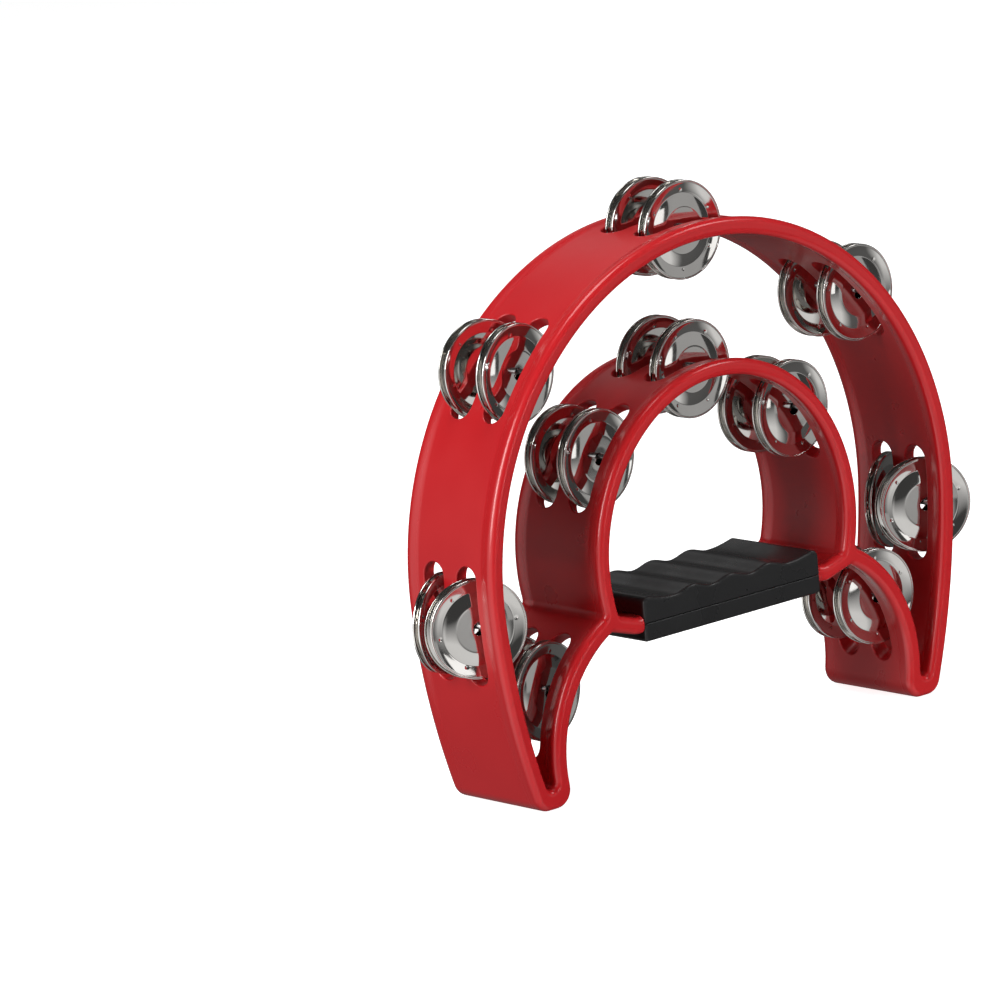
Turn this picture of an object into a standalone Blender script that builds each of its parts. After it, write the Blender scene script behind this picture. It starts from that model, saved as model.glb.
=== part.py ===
"""Half-moon tambourine with a double row of jingles.

One moulded frame carries an outer arc, an inner arc and a crossbar. Ten steel pins run through the frame
from its back, and each holds two pairs of jingles in two rows of slots. A grip of two halves closes round
the crossbar and is held by four screws. Front faces -Y, feet stand on z = 0.
"""

import math

import bmesh
import bpy
from mathutils import Matrix, Vector

MM = 0.001

# Frame, front view. The arcs share one centre, FRAME_Z above the feet.
FRAME_Z = 86.0 * MM
OUTER_R = 125.0 * MM
OUTER_WALL = 7.0 * MM
INNER_R = 70.0 * MM
INNER_WALL = 6.5 * MM
LEG_START_DEG = -4.0
LEG_R = 290.0 * MM
FOOT_R = 7.0 * MM
FLANK_X = 41.5 * MM
FLANK_Z = FRAME_Z - 70.0 * MM
FLANK_INNER_R = 51.3 * MM
FLANK_WALL = 7.2 * MM
NOTCH_R = 2.0 * MM
JUNCTION_R = 2.5 * MM
TIP_R = 2.4 * MM
PALM_FILLET_R = 3.0 * MM
BAR_Z = FRAME_Z - 24.7 * MM
BAR_WALL = 6.5 * MM
BAR_SLOPE_DEG = 16.0
BAR_BEND_X = 50.0 * MM
BEND_R = 8.0 * MM

# Frame, section. Rims at front and back are full, the web between them is a little thinner.
DEPTH = 50.0 * MM
RIM_ROUND = 2.6 * MM
RIM_FULL_Y = 22.2 * MM
RIM_INNER_Y = 20.2 * MM
RIM_INNER_INSET = 0.1 * MM
WEB_Y = 17.4 * MM
WEB_INSET = 0.8 * MM
ARC_CHORD = 9.0 * MM
LEG_STEPS = 5
FOOT_STEPS = 4
FILLET_STEPS = 3
BEND_STEPS = 2
RIM_STEPS = 2

# Jingle slots.
ROW_Y = 9.3 * MM
SLOT_WIDTH = 11.0 * MM
SLOT_LENGTH = 46.8 * MM
SLOT_CUT = 24.0 * MM
FLANK_SLOT_LENGTH = 50.0 * MM
FLANK_SLOT_DROP_DEG = 2.5
SLOT_END_STEPS = 6

# Pins, pushed in from the back face and blind behind the front rim.
PIN_R = 1.2 * MM
BORE_R = 1.5 * MM
PIN_FRONT_Y = -20.7 * MM
BORE_FRONT_Y = -21.0 * MM
PIN_BACK_Y = 24.0 * MM
ROUND_STEPS = 10

# Jingles: a flat crown round the hole, a slope down to a valley, and a flange that rises to the rim.
JINGLE_R = 19.5 * MM
VALLEY_R = 14.4 * MM
CROWN_R = 9.4 * MM
HOLE_R = 2.5 * MM
CROWN_RISE = 1.3 * MM
RIM_RISE = 1.2 * MM
SHEET = 0.5 * MM
JINGLE_STEPS = 16
HANG = 1.1 * MM
HALF_GAP = 0.45 * MM

# Grip.
GRIP_HALF_X = 47.5 * MM
GRIP_DEPTH = 47.0 * MM
GRIP_BOTTOM_Z = FRAME_Z - 32.0 * MM
GRIP_CREST_Z = FRAME_Z - 14.1 * MM
GRIP_END_Z = FRAME_Z - 13.3 * MM
FINGER_PITCH = 20.5 * MM
LAST_GROOVE_X = 1.5 * FINGER_PITCH
FINGER_DEPTH = 2.0 * MM
FINGER_STEPS = 6
PART_GAP = 0.3 * MM
FIT_GAP = 0.3 * MM
BAR_INSIDE_DEPTH = 36.0 * MM
GRIP_EDGE = 0.9 * MM
GRIP_EDGE_ANGLE = math.radians(50)

# Grip screws, driven from below.
SCREW_X = FINGER_PITCH
SCREW_Y = 11.0 * MM
SCREW_SHANK_R = 1.4 * MM
SCREW_HEAD_R = 2.8 * MM
SCREW_CROWN_R = 2.2 * MM
SCREW_HEAD_H = 1.5 * MM
SCREW_SIDE_H = 0.9 * MM
SCREW_TOP_Z = FRAME_Z - 16.9 * MM
SCREW_SINK = 2.0 * MM

# Pin stations: name, centre of the wall's arc, wall mid radius, angle, and for the front and the back
# pair the lean about the vertical in degrees and the place along the pin in mm from the slot's middle.
ARC_CENTRE = (0.0, FRAME_Z)
OUTER_MID = OUTER_R - OUTER_WALL / 2
INNER_MID = INNER_R - INNER_WALL / 2
FLANK_MID = FLANK_INNER_R + FLANK_WALL / 2
STATIONS = (
    ("outer_top", ARC_CENTRE, OUTER_MID, 90.0, (3.0, 1.5), (3.0, 1.4)),
    ("outer_upper_left", ARC_CENTRE, OUTER_MID, 138.0, (-4.0, 1.3), (5.0, 1.2)),
    ("outer_upper_right", ARC_CENTRE, OUTER_MID, 42.0, (0.0, -0.6), (6.0, 1.0)),
    ("outer_low_left", ARC_CENTRE, OUTER_MID, 185.3, (22.5, 0.0), (-15.0, -0.4)),
    ("outer_low_right", ARC_CENTRE, OUTER_MID, -5.3, (24.0, -0.4), (-18.0, -0.2)),
    ("inner_top", ARC_CENTRE, INNER_MID, 90.0, (1.0, 1.5), (2.0, 1.5)),
    ("inner_left", ARC_CENTRE, INNER_MID, 142.0, (-3.0, 1.4), (0.0, 0.3)),
    ("inner_right", ARC_CENTRE, INNER_MID, 38.0, (-1.0, 1.6), (3.0, 1.4)),
    ("flank_left", (-FLANK_X, FLANK_Z), FLANK_MID, 150.0, (-9.0, -0.5), (0.0, 0.3)),
    ("flank_right", (FLANK_X, FLANK_Z), FLANK_MID, 30.0, (5.0, -1.1), (0.0, -0.2)),
)

RED = (0.60, 0.018, 0.022, 1.0)
BLACK = (0.018, 0.018, 0.019, 1.0)
NICKEL = (0.72, 0.71, 0.69, 1.0)
STEEL = (0.55, 0.55, 0.56, 1.0)
ZINC = (0.45, 0.46, 0.48, 1.0)

CUT_PAST = 2.0 * MM
SEAT_GAP = 0.2 * MM
SAME_POINT = 0.001 * MM
SHARP_ANGLE = math.radians(40)


def clear_scene():
    """Remove every object of the scene."""
    for old in list(bpy.data.objects):
        bpy.data.objects.remove(old, do_unlink=True)


def plastic(name, colour, roughness):
    """Moulded plastic."""
    material = bpy.data.materials.new(name)
    material.use_nodes = True
    shader = material.node_tree.nodes["Principled BSDF"]
    shader.inputs["Base Color"].default_value = colour
    shader.inputs["Roughness"].default_value = roughness
    shader.inputs["Metallic"].default_value = 0.0
    return material


def metal(name, colour, roughness):
    """Bare or plated metal."""
    material = plastic(name, colour, roughness)
    shader = material.node_tree.nodes["Principled BSDF"]
    shader.inputs["Metallic"].default_value = 1.0
    return material


def red_plastic():
    """Glossy red moulding of the frame."""
    return plastic("red_abs", RED, 0.28)


def black_plastic(name):
    """Satin black moulding of a grip half."""
    return plastic(name, BLACK, 0.45)


def zinc_plate():
    """Plated steel of the grip screws."""
    return metal("zinc_plate", ZINC, 0.35)


def drawn_steel():
    """Bright drawn steel of the pins."""
    return metal("drawn_steel", STEEL, 0.3)


def nickel_plate():
    """Mirror nickel of the jingles."""
    return metal("nickel_plate", NICKEL, 0.12)


def polar(centre, radius, angle):
    """Point on a circle in the front view."""
    return (centre[0] + radius * math.cos(angle), centre[1] + radius * math.sin(angle))


def angle_to(centre, point):
    """Direction from a circle's centre to a point."""
    return math.atan2(point[1] - centre[1], point[0] - centre[0])


def circle_cross(centre_a, radius_a, centre_b, radius_b, side):
    """Crossing of two circles; side 1 takes the one left of the line from a to b, -1 the other."""
    dx = centre_b[0] - centre_a[0]
    dz = centre_b[1] - centre_a[1]
    span = math.hypot(dx, dz)
    along = (radius_a ** 2 - radius_b ** 2 + span ** 2) / (2 * span)
    across = math.sqrt(radius_a ** 2 - along ** 2) * side
    return (
        centre_a[0] + (along * dx - across * dz) / span,
        centre_a[1] + (along * dz + across * dx) / span,
    )


def arc(centre, radius, start, end, steps, grow, web=(1.0, 1.0)):
    """Arc record of an outline.

    grow is -1 where the wall lies inside the circle and 1 where it lies outside, so a thinner wall
    moves the arc by grow times the inset. web is how much of the web's inset the two ends take.
    """
    return {
        "centre": centre,
        "radius": radius,
        "start": start,
        "end": end,
        "steps": steps,
        "grow": grow,
        "web": web,
    }


def arc_steps(radius, turn):
    """Number of chords for an arc."""
    return max(BEND_STEPS, math.ceil(radius * abs(turn) / ARC_CHORD))


def arc_points(item, rim_inset, web_inset):
    """Points of one arc for a given inset of the wall's surface."""
    points = []
    for i in range(item["steps"] + 1):
        t = i / item["steps"]
        web = item["web"][0] + (item["web"][1] - item["web"][0]) * t
        radius = item["radius"] + item["grow"] * (rim_inset + web_inset * web)
        angle = item["start"] + (item["end"] - item["start"]) * t
        points.append(polar(item["centre"], radius, angle))
    return points


def mirrored(item):
    """The same arc on the other side of the middle plane, run the other way."""
    twin = dict(item)
    twin["centre"] = (-item["centre"][0], item["centre"][1])
    twin["start"] = math.pi - item["end"]
    twin["end"] = math.pi - item["start"]
    twin["web"] = (item["web"][1], item["web"][0])
    return twin


def closed_outline(right_half):
    """Outline from its right half, which runs from the top of the middle plane to the bottom."""
    return right_half + [mirrored(item) for item in reversed(right_half)]


def leg_centre():
    """Centre of the leg's large arc, tangent to the outer arc."""
    start = math.radians(LEG_START_DEG)
    return polar(ARC_CENTRE, OUTER_R - LEG_R, start)


def bend_centre():
    """Centre of the bends between the level crossbar and its sloping end."""
    return (BAR_BEND_X, BAR_Z + BAR_WALL / 2 + BEND_R)


def bend_radius(side):
    """Radius of the bend on the bar's top (side 1) or on its underside (side -1)."""
    return BEND_R if side > 0 else BEND_R + BAR_WALL


def slope_cross(side, offset, centre, radius):
    """Centre of a fillet: on a circle, and offset upwards from the sloping end's top or underside."""
    slope = math.radians(BAR_SLOPE_DEG)
    bend_x, bend_z = bend_centre()
    reach = bend_radius(side) - offset
    point = (bend_x + math.sin(slope) * reach, bend_z - math.cos(slope) * reach)
    base = (point[0] - centre[0], point[1] - centre[1])
    along = base[0] * math.cos(slope) + base[1] * math.sin(slope)
    rest = base[0] ** 2 + base[1] ** 2 - radius ** 2
    run = math.sqrt(along ** 2 - rest) - along
    return (point[0] + run * math.cos(slope), point[1] + run * math.sin(slope))


def bend(side):
    """Bend between the sloping end and the level crossbar, on its top or its underside."""
    slope = math.radians(BAR_SLOPE_DEG)
    radius = bend_radius(side)
    return arc(bend_centre(), radius, slope - math.pi / 2, -math.pi / 2, BEND_STEPS, side)


def outer_outline():
    """Outside of the frame: outer arc, leg, foot, inside of the flank and underside of the bar."""
    leg = leg_centre()
    flank = (FLANK_X, FLANK_Z)
    foot_z = FOOT_R
    leg_reach = math.sqrt((LEG_R - FOOT_R) ** 2 - (foot_z - leg[1]) ** 2)
    flank_reach = math.sqrt((FLANK_INNER_R + FOOT_R) ** 2 - (foot_z - flank[1]) ** 2)
    heel = (leg[0] + leg_reach, foot_z)
    toe = (flank[0] + flank_reach, foot_z)
    notch = slope_cross(-1, -NOTCH_R, flank, FLANK_INNER_R - NOTCH_R)
    slope = math.radians(BAR_SLOPE_DEG)
    start = math.radians(LEG_START_DEG)
    leg_end = angle_to(leg, heel)
    flank_foot = angle_to(flank, toe)
    flank_notch = angle_to(flank, notch)
    outer_steps = arc_steps(OUTER_R, math.pi / 2 - start)
    flank_steps = arc_steps(FLANK_INNER_R, flank_notch - flank_foot)
    right = [
        arc(ARC_CENTRE, OUTER_R, math.pi / 2, start, outer_steps, -1),
        arc(leg, LEG_R, start, leg_end, LEG_STEPS, -1, (1.0, 0.0)),
        arc(heel, FOOT_R, leg_end, -math.pi / 2, FOOT_STEPS, -1, (0.0, 0.0)),
        arc(toe, FOOT_R, -math.pi / 2, flank_foot - math.pi, FOOT_STEPS, -1, (0.0, 0.0)),
        arc(flank, FLANK_INNER_R, flank_foot, flank_notch, flank_steps, 1, (0.0, 1.0)),
        arc(notch, NOTCH_R, flank_notch, slope + math.pi / 2, FILLET_STEPS, 1),
        bend(-1),
    ]
    return closed_outline(right)


def palm_outline():
    """Hand opening between the inner arc and the crossbar."""
    inside = INNER_R - INNER_WALL
    corner = slope_cross(1, PALM_FILLET_R, ARC_CENTRE, inside - PALM_FILLET_R)
    slope = math.radians(BAR_SLOPE_DEG)
    end = angle_to(ARC_CENTRE, corner)
    right = [
        arc(ARC_CENTRE, inside, math.pi / 2, end, arc_steps(inside, math.pi / 2 - end), 1),
        arc(corner, PALM_FILLET_R, end, slope - math.pi / 2, FILLET_STEPS, 1),
        bend(1),
    ]
    return closed_outline(right)


def ring_outline():
    """Space between the outer and the inner arc, down to the narrow gap at each foot."""
    leg = leg_centre()
    flank = (FLANK_X, FLANK_Z)
    flank_outer = FLANK_INNER_R + FLANK_WALL
    leg_inner = LEG_R - OUTER_WALL
    tip = circle_cross(leg, leg_inner - TIP_R, flank, flank_outer + TIP_R, 1)
    junction = circle_cross(ARC_CENTRE, INNER_R + JUNCTION_R, flank, flank_outer + JUNCTION_R, 1)
    start = math.radians(LEG_START_DEG)
    leg_end = angle_to(leg, tip)
    flank_foot = angle_to(flank, tip)
    flank_top = angle_to(flank, junction)
    inner_end = angle_to(ARC_CENTRE, junction)
    outer_steps = arc_steps(OUTER_R, math.pi / 2 - start)
    flank_steps = arc_steps(flank_outer, flank_top - flank_foot)
    inner_steps = arc_steps(INNER_R, math.pi / 2 - inner_end)
    right = [
        arc(ARC_CENTRE, OUTER_R - OUTER_WALL, math.pi / 2, start, outer_steps, 1),
        arc(leg, leg_inner, start, leg_end, LEG_STEPS, 1),
        arc(tip, TIP_R, leg_end, flank_foot - math.pi, FILLET_STEPS, 1),
        arc(flank, flank_outer, flank_foot, flank_top, flank_steps, -1),
        arc(junction, JUNCTION_R, flank_top - math.pi, inner_end - math.pi, FILLET_STEPS, 1),
        arc(ARC_CENTRE, INNER_R, inner_end, math.pi / 2, inner_steps, -1),
    ]
    return closed_outline(right)


def kept_points(outline):
    """For each point of an outline, whether it is new: arcs that touch share their joint."""
    flat = [point for item in outline for point in arc_points(item, 0.0, 0.0)]
    return [math.dist(point, flat[i - 1]) > SAME_POINT for i, point in enumerate(flat)]


def outline_points(outline, keep, rim_inset, web_inset):
    """An outline's points for a given inset of the wall's surface."""
    flat = [point for item in outline for point in arc_points(item, rim_inset, web_inset)]
    return [point for point, new in zip(flat, keep) if new]


def frame_levels():
    """Section of the wall from the front face to the middle: depth, rim inset and web inset."""
    levels = []
    for i in range(RIM_STEPS + 1):
        turn = math.pi / 2 * (1 - i / RIM_STEPS)
        y = RIM_FULL_Y + (DEPTH / 2 - RIM_FULL_Y) * math.sin(turn)
        levels.append((y, RIM_ROUND * (1 - math.cos(turn)), 0.0))
    levels.append((RIM_INNER_Y, 0.0, RIM_INNER_INSET))
    levels.append((WEB_Y, 0.0, WEB_INSET))
    front = [(-y, rim, web) for y, rim, web in levels]
    back = [(y, rim, web) for y, rim, web in reversed(levels)]
    return front + back


def add_ring(mesh, points, y):
    """Closed ring of vertices at one depth."""
    return [mesh.verts.new((x, y, z)) for x, z in points]


def bridge(mesh, ring_a, ring_b):
    """Side faces between two rings of the same length."""
    count = len(ring_a)
    for i in range(count):
        j = (i + 1) % count
        mesh.faces.new((ring_a[i], ring_a[j], ring_b[j], ring_b[i]))


def ring_edges(mesh, ring):
    """Edges round a ring."""
    return [mesh.edges.get((ring[i - 1], ring[i])) for i in range(len(ring))]


def new_object(name, mesh, material, smooth=True):
    """Object from a bmesh, shaded smooth with its sharp edges kept."""
    bmesh.ops.recalc_face_normals(mesh, faces=mesh.faces)
    data = bpy.data.meshes.new(name)
    mesh.to_mesh(data)
    mesh.free()
    if material:
        data.materials.append(material)
    if smooth:
        data.shade_smooth()
        data.set_sharp_from_angle(angle=SHARP_ANGLE)
    made = bpy.data.objects.new(name, data)
    bpy.context.scene.collection.objects.link(made)
    return made


def cut(target, cutter):
    """Cut one object out of another."""
    cutter.display_type = "WIRE"
    cutter.hide_render = True
    modifier = target.modifiers.new(cutter.name, "BOOLEAN")
    modifier.operation = "DIFFERENCE"
    modifier.solver = "EXACT"
    modifier.object = cutter


def add_box(mesh, low, high):
    """Box between two corners."""
    size = [high[i] - low[i] for i in range(3)]
    middle = [(high[i] + low[i]) / 2 for i in range(3)]
    matrix = Matrix.Translation(middle) @ Matrix.Diagonal((*size, 1.0))
    bmesh.ops.create_cube(mesh, size=1.0, matrix=matrix)


def add_rod(mesh, start, end, radius):
    """Round rod between two points."""
    span = Vector(end) - Vector(start)
    turn = span.to_track_quat("Z", "Y").to_matrix().to_4x4()
    middle = Matrix.Translation((Vector(start) + Vector(end)) / 2)
    bmesh.ops.create_cone(
        mesh,
        cap_ends=True,
        segments=ROUND_STEPS,
        radius1=radius,
        radius2=radius,
        depth=span.length,
        matrix=middle @ turn,
    )


def pin_place(station):
    """Front-view place of a pin."""
    centre, radius, angle = station[1:4]
    return polar(centre, radius, math.radians(angle))


def slot_frame(station, row_y):
    """Middle of a slot and its directions: out through the wall, along the wall, and Y."""
    centre, radius, angle = station[1:4]
    if station[0].startswith("flank"):
        angle -= math.copysign(FLANK_SLOT_DROP_DEG, 90.0 - angle)
    turn = math.radians(angle)
    middle = polar(centre, radius, turn)
    out = Vector((math.cos(turn), 0.0, math.sin(turn)))
    along = Vector((-math.sin(turn), 0.0, math.cos(turn)))
    return Vector((middle[0], row_y, middle[1])), out, along


def add_slot(mesh, station, row_y):
    """Round-ended slot cutter through the wall."""
    middle, out, along = slot_frame(station, row_y)
    radius = SLOT_WIDTH / 2
    length = FLANK_SLOT_LENGTH if station[0].startswith("flank") else SLOT_LENGTH
    straight = length / 2 - radius
    section = []
    for end in (1, -1):
        for i in range(SLOT_END_STEPS + 1):
            turn = math.pi * i / SLOT_END_STEPS
            section.append((end * (straight + radius * math.sin(turn)), end * radius * math.cos(turn)))
    rings = []
    for depth in (-SLOT_CUT / 2, SLOT_CUT / 2):
        ring = []
        for run, across in section:
            place = middle + out * depth + along * run + Vector((0.0, across, 0.0))
            ring.append(mesh.verts.new(place))
        rings.append(ring)
    bridge(mesh, rings[0], rings[1])
    mesh.faces.new(rings[0])
    mesh.faces.new(rings[1])


def slot_cutter():
    """All twenty slots as one cutter."""
    mesh = bmesh.new()
    for station in STATIONS:
        for row_y in (-ROW_Y, ROW_Y):
            add_slot(mesh, station, row_y)
    return new_object("cutter_slots", mesh, None, smooth=False)


def bore_cutter():
    """Pin bores, open at the back face."""
    mesh = bmesh.new()
    for station in STATIONS:
        x, z = pin_place(station)
        add_rod(mesh, (x, BORE_FRONT_Y, z), (x, DEPTH / 2 + CUT_PAST, z), BORE_R)
    return new_object("cutter_bores", mesh, None, smooth=False)


def neck_cutter():
    """Takes the rims off the crossbar where the grip closes round it."""
    mesh = bmesh.new()
    half = GRIP_HALF_X + FIT_GAP
    low = BAR_Z - BAR_WALL
    high = BAR_Z + BAR_WALL
    for side in (-1, 1):
        ends = sorted((side * BAR_INSIDE_DEPTH / 2, side * (DEPTH / 2 + CUT_PAST)))
        add_box(mesh, (-half, ends[0], low), (half, ends[1], high))
    return new_object("cutter_neck", mesh, None, smooth=False)


def screw_hole_cutter(name, low_z, high_z, radius):
    """Four upright holes in line with the grip screws."""
    mesh = bmesh.new()
    for x, y in screw_places():
        add_rod(mesh, (x, y, low_z), (x, y, high_z), radius)
    return new_object(name, mesh, None, smooth=False)


def screw_places():
    """Where the grip screws stand."""
    return [(x, y) for y in (-SCREW_Y, SCREW_Y) for x in (-SCREW_X, SCREW_X)]


def make_frame(material):
    """Moulded frame: both arcs, legs, feet, flanks and crossbar in one piece."""
    mesh = bmesh.new()
    outlines = [outer_outline(), ring_outline(), palm_outline()]
    levels = frame_levels()
    cap_edges = {0: [], len(levels) - 1: []}
    for outline in outlines:
        keep = kept_points(outline)
        rings = [add_ring(mesh, outline_points(outline, keep, rim, web), y) for y, rim, web in levels]
        for front, back in zip(rings, rings[1:]):
            bridge(mesh, front, back)
        for level, edges in cap_edges.items():
            edges.extend(ring_edges(mesh, rings[level]))
    for level, edges in cap_edges.items():
        normal = (0.0, math.copysign(1.0, levels[level][0]), 0.0)
        bmesh.ops.triangle_fill(mesh, use_beauty=True, use_dissolve=False, edges=edges, normal=normal)
    frame = new_object("frame", mesh, material)
    cut(frame, slot_cutter())
    cut(frame, bore_cutter())
    cut(frame, neck_cutter())
    cut(frame, screw_hole_cutter("cutter_bar_screws", GRIP_BOTTOM_Z, FRAME_Z, SCREW_SHANK_R + FIT_GAP))
    return frame


def finger_line(x):
    """Height of the grip's top: finger grooves, rising to a lip at each end."""
    if abs(x) <= LAST_GROOVE_X:
        wave = (1 - math.cos(2 * math.pi * x / FINGER_PITCH)) / 2
        return GRIP_CREST_Z - FINGER_DEPTH * wave
    t = (abs(x) - LAST_GROOVE_X) / (GRIP_HALF_X - LAST_GROOVE_X)
    bottom = GRIP_CREST_Z - FINGER_DEPTH
    return bottom + (GRIP_END_Z - bottom) * (1 - math.cos(math.pi / 2 * t))


def grip_mesh(section):
    """Grip half: its front-view section, extruded over the grip's depth."""
    mesh = bmesh.new()
    rings = [add_ring(mesh, section, y) for y in (-GRIP_DEPTH / 2, GRIP_DEPTH / 2)]
    bridge(mesh, rings[0], rings[1])
    mesh.faces.new(rings[0])
    mesh.faces.new(rings[1])
    return mesh


def soften(target):
    """Small round on a grip half's outer edges."""
    modifier = target.modifiers.new("edges", "BEVEL")
    modifier.width = GRIP_EDGE
    modifier.segments = 2
    modifier.limit_method = "ANGLE"
    modifier.angle_limit = GRIP_EDGE_ANGLE


def bar_channel(name):
    """Room for the crossbar inside the grip."""
    mesh = bmesh.new()
    half_y = BAR_INSIDE_DEPTH / 2 + FIT_GAP
    half_z = BAR_WALL / 2 + FIT_GAP
    past = GRIP_HALF_X + CUT_PAST
    add_box(mesh, (-past, -half_y, BAR_Z - half_z), (past, half_y, BAR_Z + half_z))
    return new_object(name, mesh, None, smooth=False)


def make_grip_upper(material):
    """Upper half of the grip, with the finger grooves."""
    count = round(GRIP_HALF_X * 2 / FINGER_PITCH * FINGER_STEPS)
    top = []
    for i in range(count + 1):
        x = GRIP_HALF_X * (1 - 2 * i / count)
        top.append((x, finger_line(x)))
    floor = BAR_Z + PART_GAP / 2
    section = [(-GRIP_HALF_X, floor), (GRIP_HALF_X, floor)] + top
    half = new_object("grip_upper", grip_mesh(section), material)
    soften(half)
    cut(half, bar_channel("cutter_channel_upper"))
    top_z = SCREW_TOP_Z + FIT_GAP
    cut(half, screw_hole_cutter("cutter_pilot", BAR_Z, top_z, SCREW_SHANK_R + FIT_GAP))
    return half


def make_grip_lower(material):
    """Lower half of the grip, with the screw seats."""
    ceiling = BAR_Z - PART_GAP / 2
    section = [
        (-GRIP_HALF_X, GRIP_BOTTOM_Z),
        (GRIP_HALF_X, GRIP_BOTTOM_Z),
        (GRIP_HALF_X, ceiling),
        (-GRIP_HALF_X, ceiling),
    ]
    half = new_object("grip_lower", grip_mesh(section), material)
    soften(half)
    cut(half, bar_channel("cutter_channel_lower"))
    below = GRIP_BOTTOM_Z - CUT_PAST
    cut(half, screw_hole_cutter("cutter_seat", below, GRIP_BOTTOM_Z + SCREW_SINK, SCREW_HEAD_R + FIT_GAP))
    cut(half, screw_hole_cutter("cutter_clearance", below, FRAME_Z, SCREW_SHANK_R + FIT_GAP))
    return half


def add_lathe(mesh, profile, steps):
    """Body of revolution about the local Z axis from a closed profile of radius and height."""
    columns = []
    for i in range(steps):
        turn = 2 * math.pi * i / steps
        column = [mesh.verts.new((r * math.cos(turn), r * math.sin(turn), h)) for r, h in profile]
        columns.append(column)
    for i in range(steps):
        bridge_columns(mesh, columns[i], columns[(i + 1) % steps])


def bridge_columns(mesh, column_a, column_b):
    """Faces between two neighbouring columns of a lathe."""
    count = len(column_a)
    for i in range(count):
        j = (i + 1) % count
        mesh.faces.new((column_a[i], column_b[i], column_b[j], column_a[j]))


def screw_mesh():
    """Pan head with a shank, head down, seated at local z = 0."""
    mesh = bmesh.new()
    shank = SCREW_TOP_Z - (GRIP_BOTTOM_Z + SCREW_SINK - SEAT_GAP)
    outline = (
        (SCREW_HEAD_R, 0.0),
        (SCREW_SHANK_R, 0.0),
        (SCREW_SHANK_R, shank),
        (0.0, shank),
        (0.0, -SCREW_HEAD_H),
        (SCREW_CROWN_R, -SCREW_HEAD_H),
        (SCREW_HEAD_R, -SCREW_SIDE_H),
    )
    rings = []
    for r, h in outline:
        if r == 0.0:
            rings.append([mesh.verts.new((0.0, 0.0, h))])
        else:
            rings.append(circle_verts(mesh, r, h))
    for ring_a, ring_b in zip(rings, rings[1:] + rings[:1]):
        join_rings(mesh, ring_a, ring_b)
    return mesh


def circle_verts(mesh, radius, height):
    """Ring of vertices on a circle about the local Z axis."""
    turns = [2 * math.pi * i / ROUND_STEPS for i in range(ROUND_STEPS)]
    return [mesh.verts.new((radius * math.cos(t), radius * math.sin(t), height)) for t in turns]


def join_rings(mesh, ring_a, ring_b):
    """Faces between two rings, either of which may be a single point on the axis."""
    count = max(len(ring_a), len(ring_b))
    if count == 1:
        return
    for i in range(count):
        j = (i + 1) % count
        corners = [ring_a[i % len(ring_a)], ring_a[j % len(ring_a)]]
        corners += [ring_b[j % len(ring_b)], ring_b[i % len(ring_b)]]
        mesh.faces.new(list(dict.fromkeys(corners)))


def make_screws(material):
    """The four grip screws."""
    shared = new_object("grip_screw_1", screw_mesh(), material)
    seat = GRIP_BOTTOM_Z + SCREW_SINK - SEAT_GAP
    for number, (x, y) in enumerate(screw_places(), start=1):
        screw = shared if number == 1 else bpy.data.objects.new(f"grip_screw_{number}", shared.data)
        if number > 1:
            bpy.context.scene.collection.objects.link(screw)
        screw.location = (x, y, seat)


def make_pin(station, material):
    """Steel pin across the frame, built along local Z and turned onto Y."""
    mesh = bmesh.new()
    add_rod(mesh, (0.0, 0.0, PIN_FRONT_Y), (0.0, 0.0, PIN_BACK_Y), PIN_R)
    pin = new_object("pin_" + station[0], mesh, material)
    x, z = pin_place(station)
    pin.rotation_euler = (-math.pi / 2, 0.0, 0.0)
    pin.location = (x, 0.0, z)


def jingle_profile():
    """Closed profile of the pressed disc: radius and height above the valley's underside."""
    under = [(HOLE_R, CROWN_RISE), (CROWN_R, CROWN_RISE), (VALLEY_R, 0.0), (JINGLE_R, RIM_RISE)]
    over = [(r, h + SHEET) for r, h in reversed(under)]
    return under + over


def jingle_turn(lean, side):
    """Rotation of a jingle: crown to the front (side -1) or to the back (side 1), leaning about Z."""
    angle = math.radians(lean)
    across = Vector((math.cos(angle), -math.sin(angle), 0.0)) * -side
    crown = Vector((math.sin(angle), math.cos(angle), 0.0)) * side
    up = Vector((0.0, 0.0, 1.0))
    return Matrix((across, up, crown)).transposed().to_4x4()


def jingle_place(station, row, side):
    """Middle of a jingle's valley: the hole in its crown stays over the pin however it leans."""
    x, z = pin_place(station)
    lean, shift = station[3 + row]
    crown_height = CROWN_RISE + SHEET / 2
    row_y = -ROW_Y if row == 1 else ROW_Y
    y = row_y + shift * MM + side * HALF_GAP
    return (x - side * crown_height * math.sin(math.radians(lean)), y, z - HANG)


def make_jingles(material):
    """Four jingles on each pin: a pair in each row, crowns outwards, hanging from their holes."""
    mesh = bmesh.new()
    add_lathe(mesh, jingle_profile(), JINGLE_STEPS)
    template = new_object("jingle_template", mesh, material)
    for station in STATIONS:
        for row in (1, 2):
            for side, word in ((-1, "front"), (1, "back")):
                disc = bpy.data.objects.new(f"jingle_{station[0]}_row{row}_{word}", template.data)
                bpy.context.scene.collection.objects.link(disc)
                place = Matrix.Translation(jingle_place(station, row, side))
                disc.matrix_world = place @ jingle_turn(station[3 + row][0], side)
    template.data.name = "jingle"
    bpy.data.objects.remove(template, do_unlink=True)


def main():
    """Build the whole instrument."""
    clear_scene()
    make_frame(red_plastic())
    make_grip_upper(black_plastic("black_grip_upper"))
    make_grip_lower(black_plastic("black_grip_lower"))
    make_screws(zinc_plate())
    steel = drawn_steel()
    for station in STATIONS:
        make_pin(station, steel)
    make_jingles(nickel_plate())


main()
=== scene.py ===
"""Looks of the half-moon tambourine: fine frame, grip, screws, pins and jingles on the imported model.

Front faces -Y and the feet stand on z = 0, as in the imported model. Everything is in metres.
"""

import math

import bmesh
import bpy
import numpy as np
from mathutils import Matrix, Vector


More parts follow.
